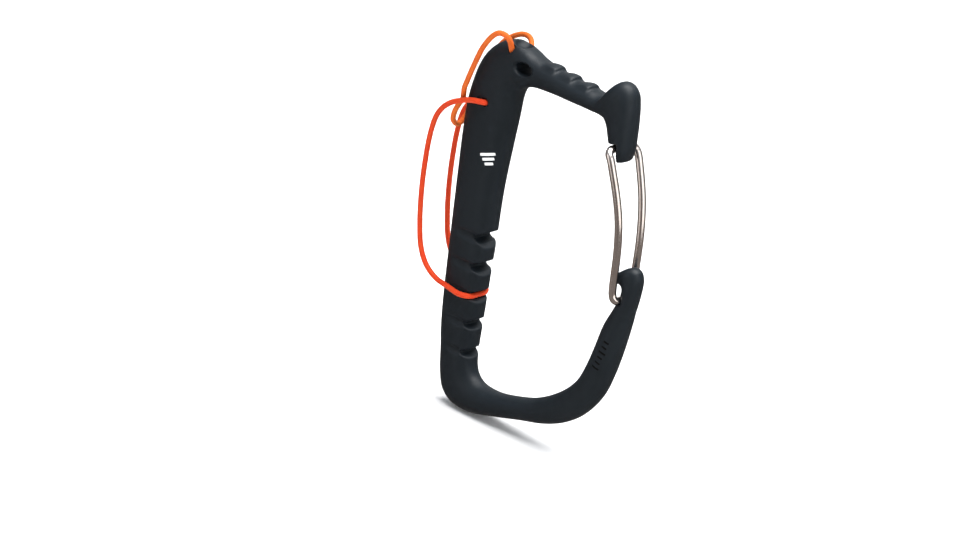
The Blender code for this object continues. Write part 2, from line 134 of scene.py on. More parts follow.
# Frame sections from the nose tip round to the gate head, as in the CAD model.
# Each is (outer x, outer z, inner x, inner z, half thickness, squareness).
SECTIONS = [
    (83.8, 41.0, 77.8, 40.4, 5.0, 2.4),
    (84.7, 44.5, 76.7, 43.0, 5.7, 2.4),
    (84.9, 50.0, 74.8, 47.8, 6.0, 2.4),
    (84.8, 57.0, 73.2, 52.2, 6.2, 2.4),
    (84.4, 63.4, 71.6, 54.2, 6.2, 2.4),
    (83.2, 68.4, 70.4, 54.8, 6.2, 2.4),
    (80.2, 71.1, 69.4, 55.0, 6.2, 2.4),
    (76.4, 71.2, 68.6, 55.2, 6.2, 2.4),
    (73.4, 68.5, 67.8, 55.4, 6.2, 2.4),
    (71.3, 65.2, 66.8, 55.6, 6.2, 2.3),
    (68.6, 63.2, 64.6, 55.7, ARM_HALF, 2.2),
    (63.4, 64.0, 60.6, 55.9, ARM_HALF, 2.2),
    (56.0, 64.6, 54.0, 56.1, ARM_HALF, 2.2),
    (48.0, 65.7, 45.5, 56.4, ARM_HALF, 2.2),
    (40.5, 66.8, 38.5, 56.4, 6.2, 2.3),
    (33.8, 68.5, 33.5, 56.0, 6.3, 2.4),
    (28.5, 70.6, 30.4, 55.1, SPINE_HALF, 2.6),
    (21.8, 72.2, 28.0, 53.9, SPINE_HALF, 2.7),
    (14.8, 70.2, 26.7, 52.6, SPINE_HALF, 2.8),
    (8.6, 65.2, 26.0, 51.0, SPINE_HALF, 2.8),
    (4.4, 58.5, 25.5, 48.8, SPINE_HALF, 2.8),
    (1.9, 51.0, 25.2, 46.4, SPINE_HALF, 2.8),
    (0.0, 42.0, 24.8, 41.2, SPINE_HALF, 2.8),
    (-0.7, 28.0, 23.2, 28.0, SPINE_HALF, 2.8),
    (-0.7, 8.0, 21.0, 8.0, SPINE_HALF, 2.8),
    (-0.7, -14.0, 20.1, -14.0, SPINE_HALF, 2.8),
    (-0.7, -36.0, 19.0, -36.0, 6.4, 2.8),
    (-0.3, -54.0, 18.2, -54.0, 6.3, 2.7),
    (1.0, -67.0, 17.9, -65.0, 6.2, 2.5),
    (2.2, -78.0, 18.6, -70.6, 6.2, 2.4),
    (4.3, -84.8, 20.4, -73.8, 6.2, 2.3),
    (8.6, -88.7, 23.8, -76.0, 6.2, 2.2),
    (14.8, -90.1, 28.2, -76.8, 6.2, 2.2),
    (24.0, -89.5, 34.0, -76.7, 6.2, 2.2),
    (36.0, -86.5, 42.0, -75.0, ARM_HALF, 2.1),
    (49.0, -82.9, 51.5, -72.1, ARM_HALF, 2.1),
    (60.6, -79.9, 58.6, -68.6, ARM_HALF, 2.1),
    (69.8, -76.0, 64.3, -64.9, ARM_HALF, 2.1),
    (77.6, -70.6, 69.2, -60.9, ARM_HALF, 2.1),
    (83.6, -64.0, 73.0, -57.0, ARM_HALF, 2.1),
    (87.9, -57.0, 76.1, -52.6, ARM_HALF, 2.1),
    (91.3, -47.2, 79.2, -45.3, ARM_HALF, 2.1),
    (93.8, -37.0, 81.8, -37.0, 6.0, 2.1),
    (96.0, -25.5, 84.7, -26.6, 5.7, 2.1),
    (97.1, -17.8, 88.0, -19.4, 5.0, 2.2),
    (98.1, -12.2, 90.4, -14.0, 4.5, 2.3),
    (98.8, -6.8, 90.8, -10.4, 4.3, 2.3),
    (98.8, -3.5, 89.8, -8.8, 4.2, 2.3),
    (97.6, -0.8, 88.6, -8.6, 4.2, 2.3),
    (95.0, 0.3, 87.6, -8.8, 4.2, 2.3),
    (91.8, -0.8, 86.8, -9.0, 4.1, 2.3),
    (88.6, -3.2, 86.0, -9.0, 4.0, 2.2),
    (86.2, -5.2, 85.1, -8.5, 3.5, 2.2),
]

# Routes of the elastic, as in the CAD model. The belt cord's far half mirrors its near half in Y.
BELT_CORD = [
    (13.4, -0.4, 44.4),
    (13.4, -3.4, 44.4),
    (12.8, -6.0, 44.3),
    (11.0, -7.6, 44.4),
    (8.6, -8.2, 44.2),
    (5.0, -8.2, 43.4),
    (1.0, -8.2, 41.9),
    (-3.2, -8.2, 40.0),
    (-7.4, -8.2, 36.8),
    (-10.8, -8.2, 32.0),
    (-13.0, -8.2, 24.0),
    (-14.2, -8.2, 12.0),
    (-14.4, -8.2, -2.0),
    (-13.4, -8.2, -15.0),
    (-11.2, -8.2, -25.6),
    (-7.0, -8.2, -32.2),
    (-1.0, -8.2, -35.9),
    (6.1, -8.2, -37.2),
    (11.8, -7.9, -38.3),
    (14.5, -6.4, -38.7),
    (15.8, -4.0, CORD_NOTCH_Z),
    (15.9, 0.0, CORD_NOTCH_Z),
]
TOP_CORD = [
    (22.4, -0.4, 66.5),
    (22.3, -1.8, 66.5),
    (22.1, -3.3, 67.0),
    (21.9, -4.3, 68.3),
    (21.9, -5.0, 70.2),
    (22.0, -6.3, 72.6),
    (21.5, -7.6, 74.4),
    (20.0, -8.5, 75.3),
    (18.0, -8.8, 75.2),
    (16.2, -8.9, 74.2),
    (14.0, -8.8, 72.2),
    (10.1, -8.6, 66.8),
    (7.1, -8.5, 60.0),
    (4.1, -8.4, 52.1),
    (2.2, -7.8, 47.6),
    (0.8, -6.3, 44.4),
    (-0.4, -5.1, 42.0),
    (-2.2, -4.7, 39.4),
    (-4.2, -4.8, 35.4),
    (-5.6, -3.6, 31.0),
    (-6.0, 0.0, 28.6),
    (-5.8, 3.6, 31.0),
    (-5.0, 4.9, 35.6),
    (-4.4, 5.0, 39.3),
    (-3.9, 5.6, 41.6),
    (-2.9, 6.6, 45.4),
    (-1.6, 7.6, 49.6),
    (-0.2, 8.2, 54.6),
    (1.8, 8.4, 60.0),
    (4.1, 8.5, 63.8),
    (6.6, 8.5, 66.6),
    (9.3, 8.6, 68.7),
    (11.9, 8.7, 70.3),
    (14.8, 8.8, 71.5),
    (17.8, 8.6, 71.8),
    (20.2, 7.9, 71.3),
    (22.2, 6.6, 70.1),
    (23.3, 5.0, 68.7),
    (22.9, 2.8, 67.3),
    (22.4, 0.4, 66.8),
]

# The gate wire, half of it: closed end on the nose, down one leg, then in along the hinge.
BAR_X = TONGUE_X - WIRE_D / 2 - GAP
BAR_Z = STEP_Z - WIRE_D / 2 - 0.7
GATE_HALF_WIRE = [
    (BAR_X, 0.0, BAR_Z),
    (BAR_X, -4.0, BAR_Z),
    (BAR_X + 0.3, -6.6, BAR_Z - 0.2),
    (BAR_X + 1.1, -8.0, BAR_Z - 1.5),
    (81.8, -8.2, 42.4),
    (84.2, -8.0, 36.2),
    (87.1, -7.5, 27.2),
    (88.9, -7.0, 19.0),
    (89.8, -6.7, 11.0),
    (90.1, -6.5, 4.0),
    (90.1, -6.4, -3.0),
    (90.2, -6.4, -8.0),
    (90.4, -6.3, -11.0),
    (90.9, -6.0, -12.9),
    (91.4, -5.1, -13.8),
    (PIVOT_X, -3.8, PIVOT_Z),
    (PIVOT_X, -SOCKET_WEB - 0.4, PIVOT_Z),
]

# ------------------------------------------------------------------------------ tools


def through(rows, step):
    """Rows of numbers on a centripetal Catmull-Rom curve through the given rows, about step apart."""
    rows = np.array(rows, float)
    ends = np.vstack([2 * rows[0] - rows[1], rows, 2 * rows[-1] - rows[-2]])
    gaps = np.sqrt(np.linalg.norm(np.diff(ends[:, :4], axis=0), axis=1))
    knots = np.concatenate([[0], np.cumsum(gaps)])
    out = []
    for i in range(1, len(ends) - 2):
        t0, t1, t2, t3 = knots[i - 1 : i + 3]
        p0, p1, p2, p3 = ends[i - 1 : i + 3]
        count = max(1, round(gaps[i] ** 2 / step))
        for t in t1 + (t2 - t1) * np.arange(count) / count:
            a1 = (t1 - t) / (t1 - t0) * p0 + (t - t0) / (t1 - t0) * p1
            a2 = (t2 - t) / (t2 - t1) * p1 + (t - t1) / (t2 - t1) * p2
            a3 = (t3 - t) / (t3 - t2) * p2 + (t - t2) / (t3 - t2) * p3
            b1 = (t2 - t) / (t2 - t0) * a1 + (t - t0) / (t2 - t0) * a2
            b2 = (t3 - t) / (t3 - t1) * a2 + (t - t1) / (t3 - t1) * a3
            out.append((t2 - t) / (t2 - t1) * b1 + (t - t1) / (t2 - t1) * b2)
    out.append(rows[-1])
    return np.array(out)


def spaced(line, step):
    """The same line with its points evenly spaced, and each point's distance along it."""
    lengths = np.concatenate([[0], np.cumsum(np.linalg.norm(np.diff(line, axis=0), axis=1))])
    places = np.linspace(0, lengths[-1], max(2, round(lengths[-1] / step)))
    return np.array([np.interp(places, lengths, line[:, i]) for i in range(3)]).T, places


def mesh_object(name, verts, faces):
    mesh = bpy.data.meshes.new(name)
    mesh.from_pydata([tuple(map(float, v)) for v in verts], [], faces)
    mesh.validate()
    obj = bpy.data.objects.new(name, mesh)
    bpy.context.scene.collection.objects.link(obj)
    return obj


def lofted(name, rings):
    """A closed skin over rings of equal length, with a fan at each end."""
    sides = len(rings[0])
    verts = [v for ring in rings for v in ring]
    faces = []
    for r in range(len(rings) - 1):
        for s in range(sides):
            a, b = r * sides + s, r * sides + (s + 1) % sides
            faces.append((a, b, b + sides, a + sides))
    for base, turn in ((0, -1), ((len(rings) - 1) * sides, 1)):
        verts.append(np.mean(rings[0 if base == 0 else -1], axis=0))
        tip = len(verts) - 1
        for s in range(sides):
            edge = (base + s, base + (s + 1) % sides)
            faces.append((*edge[::turn], tip))
    return mesh_object(name, verts, faces)


def carried_frames(line):
    """Two directions across the line at each point, carried along it without twisting."""
    along = np.gradient(line, axis=0)
    along /= np.linalg.norm(along, axis=1)[:, None]
    across = np.array(Vector(along[0]).orthogonal().normalized())
    frames = []
    for way in along:
        across = across - way * across.dot(way)
        across /= np.linalg.norm(across)
        frames.append((across, np.cross(way, across)))
    return frames


def swept(name, line, radii, sides):
    """A closed round tube along a line. radii is one radius, or one for each ring and side."""
    line = np.array(line, float)
    radii = np.broadcast_to(np.array(radii, float), (len(line), sides))
    angles = 2 * math.pi * np.arange(sides) / sides
    rings = []
    for point, (across, other), radius in zip(line, carried_frames(line), radii):
        round_it = np.outer(np.cos(angles), across) + np.outer(np.sin(angles), other)
        rings.append(point + radius[:, None] * round_it)
    return lofted(name, rings)


def add_uv(obj, rings, sides, lengths):
    """A UV map on a swept tube: U in millimetres along it, V once around it."""
    layer = obj.data.uv_layers.new(name="along")
    uv = np.zeros((len(obj.data.loops), 2))
    for poly in obj.data.polygons:
        columns = [obj.data.loops[i].vertex_index % sides for i in poly.loop_indices]
        wraps = max(columns) - min(columns) > sides / 2
        for i in poly.loop_indices:
            v = obj.data.loops[i].vertex_index
            ring = min(v // sides, rings - 1)
            column = v % sides
            uv[i] = (lengths[ring], (column + (sides if wraps and column == 0 else 0)) / sides)
    layer.data.foreach_set("uv", uv.ravel())


def in_metres(obj):
    """Scales a piece made in millimetres to metres, in its mesh."""
    obj.data.transform(Matrix.Scale(MM, 4))
    obj.data.update()


def with_modifiers_applied(obj):
    """Replaces the object's mesh by what its modifiers make of it."""
    bpy.context.view_layer.update()
    graph = bpy.context.evaluated_depsgraph_get()
    mesh = bpy.data.meshes.new_from_object(obj.evaluated_get(graph))
    obj.modifiers.clear()
    obj.data = mesh


# ------------------------------------------------------------------------------ materials


class Nodes:
    """Short calls for building one material's node tree."""

    def __init__(self, name, **constants):
        self.mat = bpy.data.materials.new(name)
        self.mat.use_nodes = True
        self.tree = self.mat.node_tree
        self.shader = self.tree.nodes["Principled BSDF"]
        for key, value in constants.items():
            self.shader.inputs[key.replace("_", " ")].default_value = value
        self.place = self.add("ShaderNodeTexCoord").outputs["Object"]

    def add(self, kind, **settings):
        node = self.tree.nodes.new(kind)
        for key, value in settings.items():
            setattr(node, key, value)
        return node

    def join(self, source, target):
        self.tree.links.new(source, target)

    def feed(self, node, **inputs):
        """Sets a node's inputs: a socket is linked, and a number is set."""
        for key, value in inputs.items():
            socket = node.inputs[int(key[1:]) if key[0] == "_" else key.replace("_", " ")]
            if isinstance(value, bpy.types.NodeSocket):
                self.join(value, socket)
            else:
                socket.default_value = value
        return node

    def math(self, operation, a, b=0.0, clamp=False):
        node = self.add("ShaderNodeMath", operation=operation, use_clamp=clamp)
        return self.feed(node, _0=a, _1=b).outputs[0]

    def noise(self, scale, detail=2.0, roughness=0.5, vector=None):
        node = self.add("ShaderNodeTexNoise")
        source = self.place if vector is None else vector
        self.feed(node, Vector=source, Scale=scale, Detail=detail, Roughness=roughness)
        return node.outputs["Fac"]

    def ramp(self, value, *stops):
        """A colour ramp with the given (place, colour) stops."""
        node = self.add("ShaderNodeValToRGB")
        elements = node.color_ramp.elements
        while len(elements) < len(stops):
            elements.new(0.5)
        for element, (place, colour) in zip(elements, stops):
            element.position = place
            element.color = (*colour, 1.0)
        self.join(value, node.inputs[0])
        return node.outputs["Color"]

    def span(self, value, from_low, from_high, to_low, to_high):
        node = self.add("ShaderNodeMapRange")
        self.feed(node, Value=value, _1=from_low, _2=from_high, _3=to_low, _4=to_high)
        return node.outputs[0]

    def mix(self, share, a, b):
        node = self.add("ShaderNodeMix", data_type="RGBA")
        self.feed(node, _0=share, _6=a, _7=b)
        return node.outputs[2]

    def bump(self, height, distance, strength=1.0, under=None):
        node = self.add("ShaderNodeBump")
        self.feed(node, Height=height, Distance=distance, Strength=strength)
        if under is not None:
            self.join(under, node.inputs["Normal"])
        return node.outputs["Normal"]

    def axes(self):
        node = self.add("ShaderNodeSeparateXYZ")
        self.join(self.place, node.inputs[0])
        return node.outputs

    def uv(self, along, around):
        """The tube's own UV map, scaled along and around it."""
        source = self.add("ShaderNodeUVMap", uv_map="along").outputs[0]
        node = self.add("ShaderNodeMapping")
        self.feed(node, Vector=source, Scale=(along, around, 1.0))
        return node.outputs[0]


def moulded_polyamide():
    """Charcoal glass-filled nylon with a fine spark-eroded grain and slight rub marks."""
    n = Nodes("moulded_polyamide", Metallic=0.0, Specular_IOR_Level=0.22)
    broad = n.noise(45.0, 3.0)
    flecks = n.noise(5200.0, 2.0, 0.6)
    tone = n.ramp(broad, (0.3, (0.0060, 0.0092, 0.0124)), (0.7, (0.0080, 0.0116, 0.0152)))
    fleck_share = n.span(flecks, 0.60, 0.75, 0.0, 0.35)
    n.join(n.mix(fleck_share, tone, (0.022, 0.025, 0.028, 1.0)), n.shader.inputs["Base Color"])
    n.join(n.span(n.noise(300.0, 4.0), 0.3, 0.7, 0.40, 0.52), n.shader.inputs["Roughness"])
    grain = n.bump(n.noise(3600.0, 3.0, 0.6), 0.00003)
    waves = n.bump(broad, 0.0004, 0.25, under=grain)
    across = n.math("ABSOLUTE", n.axes()["Y"])
    line = n.math("SUBTRACT", 1.0, n.math("DIVIDE", across, 0.00012), clamp=True)
    n.join(n.bump(line, 0.00006, 0.6, under=waves), n.shader.inputs["Normal"])
    return n.mat


def drawn_steel():
    """Stainless spring wire with the fine lengthwise lines of drawing, and brownish patches of painted
    reflection.
    """
    n = Nodes("drawn_steel", Metallic=1.0, Anisotropic=0.35)
    lines = n.noise(1.0, 3.0, 0.6, vector=n.uv(0.05, 26.0))
    tint = n.ramp(lines, (0.3, (0.70, 0.61, 0.56)), (0.7, (0.86, 0.78, 0.73)))
    # Brownish patches at random places: painted reflection of dark and orange surroundings, mixed into
    # the metal's colour.
    brown_reflection_share = n.span(n.noise(140.0, 2.0), 0.52, 0.75, 0.0, 0.35)
    n.join(n.mix(brown_reflection_share, tint, (0.55, 0.43, 0.30, 1.0)), n.shader.inputs["Base Color"])
    n.join(n.span(lines, 0.3, 0.7, 0.12, 0.22), n.shader.inputs["Roughness"])
    n.join(n.bump(lines, 0.00002, 0.5), n.shader.inputs["Normal"])
    return n.mat


def braided_elastic(name, gap_shade_tone, strand_tone, crown_highlight_tone, faded_tone):
    """Orange braided sheath with fine yarn lines: painted shade darkens the gaps between strands, and a
    painted highlight makes the strand crowns a little lighter.
    """
    n = Nodes(name, Metallic=0.0, Roughness=0.68, Sheen_Weight=0.10, Sheen_Roughness=0.4)
    n.shader.inputs["Specular IOR Level"].default_value = 0.2
    n.shader.inputs["Sheen Tint"].default_value = (1.0, 0.50, 0.20, 1.0)
    crown = n.add("ShaderNodeAttribute", attribute_name="crown").outputs["Fac"]
    # Painted shade in the gaps between strands and painted highlight on the strand crowns, both
    # following the braid's crown height.
    tone = n.ramp(crown, (0.0, gap_shade_tone), (0.5, strand_tone), (1.0, crown_highlight_tone))
    patchy = n.span(n.noise(260.0, 3.0), 0.35, 0.7, 0.0, 0.45)
    n.join(n.mix(patchy, tone, (*faded_tone, 1.0)), n.shader.inputs["Base Color"])
    yarn = n.noise(1.0, 2.0, 0.6, vector=n.uv(2.2, 34.0))
    fuzz = n.bump(n.noise(9000.0, 2.0), 0.00004, 0.5)
    n.join(n.bump(yarn, 0.00006, 0.6, under=fuzz), n.shader.inputs["Normal"])
    return n.mat


def printed_ink(name, colour, worn_colour):
    """Thin pad-printed ink, slightly worn."""
    n = Nodes(name, Metallic=0.0, Specular_IOR_Level=0.12)
    wear = n.span(n.noise(2600.0, 4.0, 0.7), 0.56, 0.72, 0.0, 0.6)
    n.join(n.mix(wear, (*colour, 1.0), (*worn_colour, 1.0)), n.shader.inputs["Base Color"])
    n.join(n.span(n.noise(1500.0, 3.0), 0.3, 0.7, 0.45, 0.6), n.shader.inputs["Roughness"])
    return n.mat


# ------------------------------------------------------------------------------ camera

CAMERA_AZIMUTH = math.radians(43)
CAMERA_ELEVATION = math.radians(15)
OBJECT_LEAN = math.radians(9)
CAMERA_DISTANCE = 1100.0
CAMERA_ASIDE = -22.4
CAMERA_ABOVE = -18.0
AIM_X = 47.037
SENSOR = 36.0
LENS = 101.23


def make_camera():
    """The object leans by OBJECT_LEAN in the picture, so the camera is turned about Y by as much."""
    a, e = CAMERA_AZIMUTH, CAMERA_ELEVATION
    back = Vector((math.sin(a) * math.cos(e), -math.cos(a) * math.cos(e), math.sin(e)))
    right = Vector((math.cos(a), math.sin(a), 0))
    up = back.cross(right)
    lean = Matrix.Rotation(-OBJECT_LEAN, 3, "Y")
    place = CAMERA_DISTANCE * back + CAMERA_ASIDE * right + CAMERA_ABOVE * up
    turn = Matrix((lean @ right, lean @ up, lean @ back)).transposed()
    data = bpy.data.cameras.new("camera")
    data.sensor_width = SENSOR
    data.lens = LENS
    data.clip_start = 0.05
    data.clip_end = 20.0
    camera = bpy.data.objects.new("camera", data)
    bpy.context.scene.collection.objects.link(camera)
    spot = (lean @ place + Vector((AIM_X, 0, 0))) * MM
    camera.matrix_world = Matrix.Translation(spot) @ turn.to_4x4()
    bpy.context.scene.camera = camera


# ------------------------------------------------------------------------------ elastic cords

STRANDS = 8
BRAID_PITCH = 9.0
BRAID_RELIEF = 0.07
CORD_SIDES = 40
CORD_STEP = 0.25


def braid(places, sides):
    """Radius and crown height, 0 to 1, of a two-way braid for each ring and side of a tube."""
    angles = 2 * math.pi * np.arange(sides) / sides
    turn = 2 * math.pi * places[:, None] / BRAID_PITCH
    right = STRANDS * (angles + turn)
    left = STRANDS * (angles - turn)
    crown_right = np.abs(np.cos(right / 2)) ** 0.7
    crown_left = np.abs(np.cos(left / 2)) ** 0.7
    over = 1 / (1 + np.exp(-6 * np.sin(right / 2) * np.sin(left / 2)))
    crown = crown_right * over + crown_left * (1 - over)
    return CORD_D / 2 - BRAID_RELIEF + 2 * BRAID_RELIEF * crown, crown


def make_cord(name, line, material, node):
    line, places = spaced(line, CORD_STEP)
    radii, crown = braid(places, CORD_SIDES)
    cord = swept(name, line, radii, CORD_SIDES)
    add_uv(cord, len(line), CORD_SIDES, places)
    attribute = cord.data.attributes.new("crown", "FLOAT", "POINT")
    attribute.data.foreach_set("value", np.append(crown.ravel(), [0.0, 0.0]).astype(np.float32))
    in_metres(cord)
    cord.data.shade_smooth()
    cord.data.materials.append(material)
    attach(cord, "frame")
    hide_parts(node)


make_camera()
# Tones in order: painted shade for the gaps between strands, the strand colour, painted highlight for
# the crowns, and the faded patches.
red_orange = braided_elastic(
    "belt_sheath", (0.24, 0.009, 0.002), (0.52, 0.030, 0.005), (0.58, 0.042, 0.007), (0.58, 0.064, 0.010)
)
pale_orange = braided_elastic(
    "top_sheath", (0.28, 0.024, 0.003), (0.55, 0.085, 0.010), (0.61, 0.115, 0.014), (0.63, 0.150, 0.020)
)
near_half = through(BELT_CORD, 0.5)
belt_line = np.vstack([near_half, (near_half * (1, -1, 1))[-2::-1]])
make_cord("belt_elastic_braid", belt_line, red_orange, "belt_elastic")
top_line = through(TOP_CORD, 0.5)
make_cord("top_elastic_braid", top_line, pale_orange, "top_elastic")

# ------------------------------------------------------------------------------ frame body

BODY_SIDES = 64
BODY_STEP = 0.45
CUTTER_STEP = 0.8
CUTTER_SIDES = 32
VOXEL = 0.36
SMOOTHING = 7

# A rounded end: the share of the end section's size, and how far beyond it.
END_STEPS = [(0.93, 0.315), (0.82, 0.585), (0.65, 0.765), (0.40, 0.9)]


def ridge_height(x):
    """How far the thumb ridges stand above the arm at x."""
    place = (x - RIDGE_START_X) / RIDGE_PITCH
    share = place % 1 / RIDGE_SHARE
    if not 0 < place < RIDGE_COUNT or share >= 1:
        return 0.0
    if share < RIDGE_CREST:
        return RIDGE_HEIGHT * math.sin(share / RIDGE_CREST * math.pi / 2)
    fall = (share - RIDGE_CREST) / (1 - RIDGE_CREST)
    return RIDGE_HEIGHT * math.sqrt(1 - fall**4)


def body_rings():
    """Rings round the frame's bar, with the ridges raised as pads along the top of the arm."""
    angles = 2 * math.pi * np.arange(BODY_SIDES) / BODY_SIDES
    c, s = np.cos(angles), np.sin(angles)
    rings = []
    for ox, oz, ix, iz, half, squareness in through(SECTIONS, BODY_STEP):
        share = np.sign(c) * np.abs(c) ** (2 / squareness)
        y = half * np.sign(s) * np.abs(s) ** (2 / squareness)
        width = np.clip((RIDGE_HALF + RIDGE_FLANK - np.abs(y)) / RIDGE_FLANK, 0, 1)
        lift = (ridge_height(ox) if oz > 0 else 0.0) * width * (share > 0)
        centre = np.array([(ox + ix) / 2, 0, (oz + iz) / 2])
        reach = np.array([(ox - ix) / 2, 0, (oz - iz) / 2])
        outwards = reach / np.linalg.norm(reach)
        ring = centre + np.outer(share, reach) + np.outer(lift, outwards)
        ring[:, 1] += y
        rings.append(ring)
    return rings


def rounded_end(ring, towards):
    """Shrunken copies of an end ring, moved outwards, that round off the end."""
    middle = ring.mean(axis=0)
    out = np.array(towards, float) / np.linalg.norm(towards)
    return [middle + (ring - middle) * scale + out * reach for scale, reach in END_STEPS]


def box(name, low, high):
    xs, ys, zs = zip(low, high)
    corners = [(x, y, z) for x in xs for y in ys for z in zs]
    faces = [(0, 1, 3, 2), (4, 6, 7, 5), (0, 4, 5, 1), (2, 3, 7, 6), (0, 2, 6, 4), (1, 5, 7, 3)]
    return mesh_object(name, corners, faces)


def prism(name, profile, half):
    """A profile in the XZ plane, drawn anticlockwise seen from -Y, carried from -half to +half in Y."""
    n = len(profile)
    verts = [(x, y, z) for y in (-half, half) for x, z in profile]
    faces = [tuple(range(n)), tuple(range(2 * n - 1, n - 1, -1))]
    faces += [((s + 1) % n, s, s + n, (s + 1) % n + n) for s in range(n)]
    return mesh_object(name, verts, faces)


def turned(name, x, z, profile, sides=48):
    """A closed turned shape around a line along Y, from (y, radius) pairs."""
    angles = 2 * math.pi * np.arange(sides) / sides
    rings = []
    for y, radius in profile:
        ring = [x + radius * np.cos(angles), np.full(sides, y), z - radius * np.sin(angles)]
        rings.append(np.array(ring).T)
    return lofted(name, rings)


def ellipsoid(name, centre, radii):
    """A closed ellipsoid with a small flat fan at each pole."""
    angles = 2 * math.pi * np.arange(CUTTER_SIDES) / CUTTER_SIDES
    rings = []
    for latitude in np.linspace(-1.45, 1.45, 17):
        across = math.cos(latitude)
        height = np.full(CUTTER_SIDES, math.sin(latitude))
        ring = np.array([across * np.cos(angles), across * np.sin(angles), height]).T
        rings.append(np.array(centre) + ring * radii)
    return lofted(name, rings)


def oval_hole():
    """The tether hole, wider than it is tall, and flared at both faces."""
    flare = [(-y, radius) for y, radius in TETHER_FLARE] + TETHER_FLARE[::-1]
    hole = turned("cut_tether", 0, 0, flare)
    hole.data.transform(Matrix.Diagonal((TETHER_WIDE, 1, 1, 1)))
    hole.data.transform(Matrix.Translation((TETHER_X, 0, TETHER_Z)))
    return hole


def nose_step():
    """The space in front of the tongue and under the lip."""
    lip_x = TONGUE_X - LIP_REACH
    profile = [
        (lip_x, STEP_LOW_Z),
        (TONGUE_X, STEP_LOW_Z),
        (TONGUE_X, STEP_Z),
        (lip_x, STEP_Z - LIP_SLOPE * LIP_REACH),
    ]
    return prism("cut_nose_step", profile, CUT_HALF)


def face_cutters():
    """On each side, the wire's blind socket and the groove under the belt elastic."""
    cutters = []
    for side in (-1, 1):
        ends = sorted([side * SOCKET_WEB, side * CUT_HALF])
        cutters.append(turned(f"cut_socket_{side}", PIVOT_X, PIVOT_Z, [(y, SOCKET_R) for y in ends]))
        groove = through([(x, side * -y, z) for x, y, z in BELT_CORD[3:8]], 1.0)
        cutters.append(swept(f"cut_groove_{side}", groove, GROOVE_R, CUTTER_SIDES))
    return cutters


def notch_cutters():
    """The notches for the elastic, and the hollows that run on from them across the faces."""
    cutters = []
    for i in range(NOTCH_COUNT):
        z = NOTCH_TOP_Z - i * NOTCH_PITCH
        profile = [(NOTCH_FLOOR_X + dx, z + dz) for dx, dz in NOTCH_CORNERS]
        cutters.append(prism(f"cut_notch_{i}", profile, CUT_HALF))
        for side in (-1, 1):
            share = np.linspace(0, 1, 5)[:, None]
            line = HOLLOW_SHALLOW + share * (HOLLOW_DEEP - HOLLOW_SHALLOW) + (0, SPINE_HALF, z)
            cutters.append(swept(f"cut_hollow_{i}_{side}", line * (1, side, 1), HOLLOW_R, 48))
    return cutters


def cord_cutters():
    """The groove for the belt elastic's low end, and the bores that both loops pass through."""
    low = through(BELT_CORD[-6:], CUTTER_STEP)
    low = np.vstack([low, (low * (1, -1, 1))[-2::-1]])
    near = through(BELT_CORD[:7], CUTTER_STEP)
    belt_bore = np.vstack([near[::-1], near * (1, -1, 1)])
    near = through(TOP_CORD[:7], CUTTER_STEP)
    far = through(TOP_CORD[-5:], CUTTER_STEP)
    top_bore = np.vstack([near[::-1], far[::-1]])
    return [
        swept("cut_low_groove", low, CORD_D / 2 + GAP, CUTTER_SIDES),
        swept("cut_belt_bore", belt_bore, CORD_BORE_R, CUTTER_SIDES),
        swept("cut_top_bore", top_bore, CORD_BORE_R, CUTTER_SIDES),
    ]


def body_cutters():
    """Every shape that is taken out of the frame."""
    belt_face_low = (-6, -CUT_HALF, BELT_FACE_LOW_Z)
    cutters = [
        box("cut_belt_face", belt_face_low, (0, CUT_HALF, BELT_FACE_HIGH_Z)),
        nose_step(),
        oval_hole(),
        turned("cut_bay", BAY_X, BAY_Z, [(-CUT_HALF, BAY_R), (CUT_HALF, BAY_R)]),
        ellipsoid("cut_saddle", SADDLE_AT, SADDLE_RADII),
    ]
    return cutters + face_cutters() + notch_cutters() + cord_cutters()


def make_body(material):
    """The frame: a lofted bar with its cutters taken out, remeshed and softened like a moulding."""
    rings = body_rings()
    tip = rounded_end(rings[0], (-0.15, 0, -1))
    beak = rounded_end(rings[-1], (-1, 0, -0.9))
    body = lofted("frame_body", tip[::-1] + rings + beak)
    cutters = body_cutters()
    for cutter in cutters:
        step = body.modifiers.new(cutter.name, "BOOLEAN")
        step.operation = "DIFFERENCE"
        step.solver = "EXACT"
        step.object = cutter
    remesh = body.modifiers.new("even_mesh", "REMESH")
    remesh.mode = "VOXEL"
    remesh.voxel_size = VOXEL
    smooth = body.modifiers.new("moulded_edges", "SMOOTH")
    smooth.factor = 0.5
    smooth.iterations = SMOOTHING
    with_modifiers_applied(body)
    for cutter in cutters:
        bpy.data.objects.remove(cutter)
    in_metres(body)
    body.data.shade_smooth()
    body.data.materials.clear()
    body.data.materials.append(material)
    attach(body, "frame")
    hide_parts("body")
    return body


body = make_body(moulded_polyamide())

# ------------------------------------------------------------------------------ printed marks

INK_RAISED = 0.05
INK_SUNK = 0.06
INK_CELL = 0.25
INK_CORNER = 0.18


def ink_points(bar, columns, rows, body_tree):
    """A grid of points just above one bar's patch of the near face, then one just below it."""
    x, z, length, height, tilt = bar
    across = np.array((math.cos(math.radians(tilt)), math.sin(math.radians(tilt))))
    upwards = np.array((-across[1], across[0]))
    points = []
    for lift in (INK_RAISED, -INK_SUNK):
        for r in range(rows + 1):
            for c in range(columns + 1):
                u, v = 2 * c / columns - 1, 2 * r / rows - 1
                round_off = 1 - INK_CORNER * abs(u) ** 8 * v**2
                spot = np.array((x, z)) + across * (u * length / 2)
                spot = spot + upwards * (v * height / 2 * round_off)
                start = Vector((spot[0], -CUT_HALF, spot[1])) * MM
                hit, normal, _, _ = body_tree.ray_cast(start, Vector((0, 1, 0)))
                points.append(hit / MM + normal * lift)
    return points


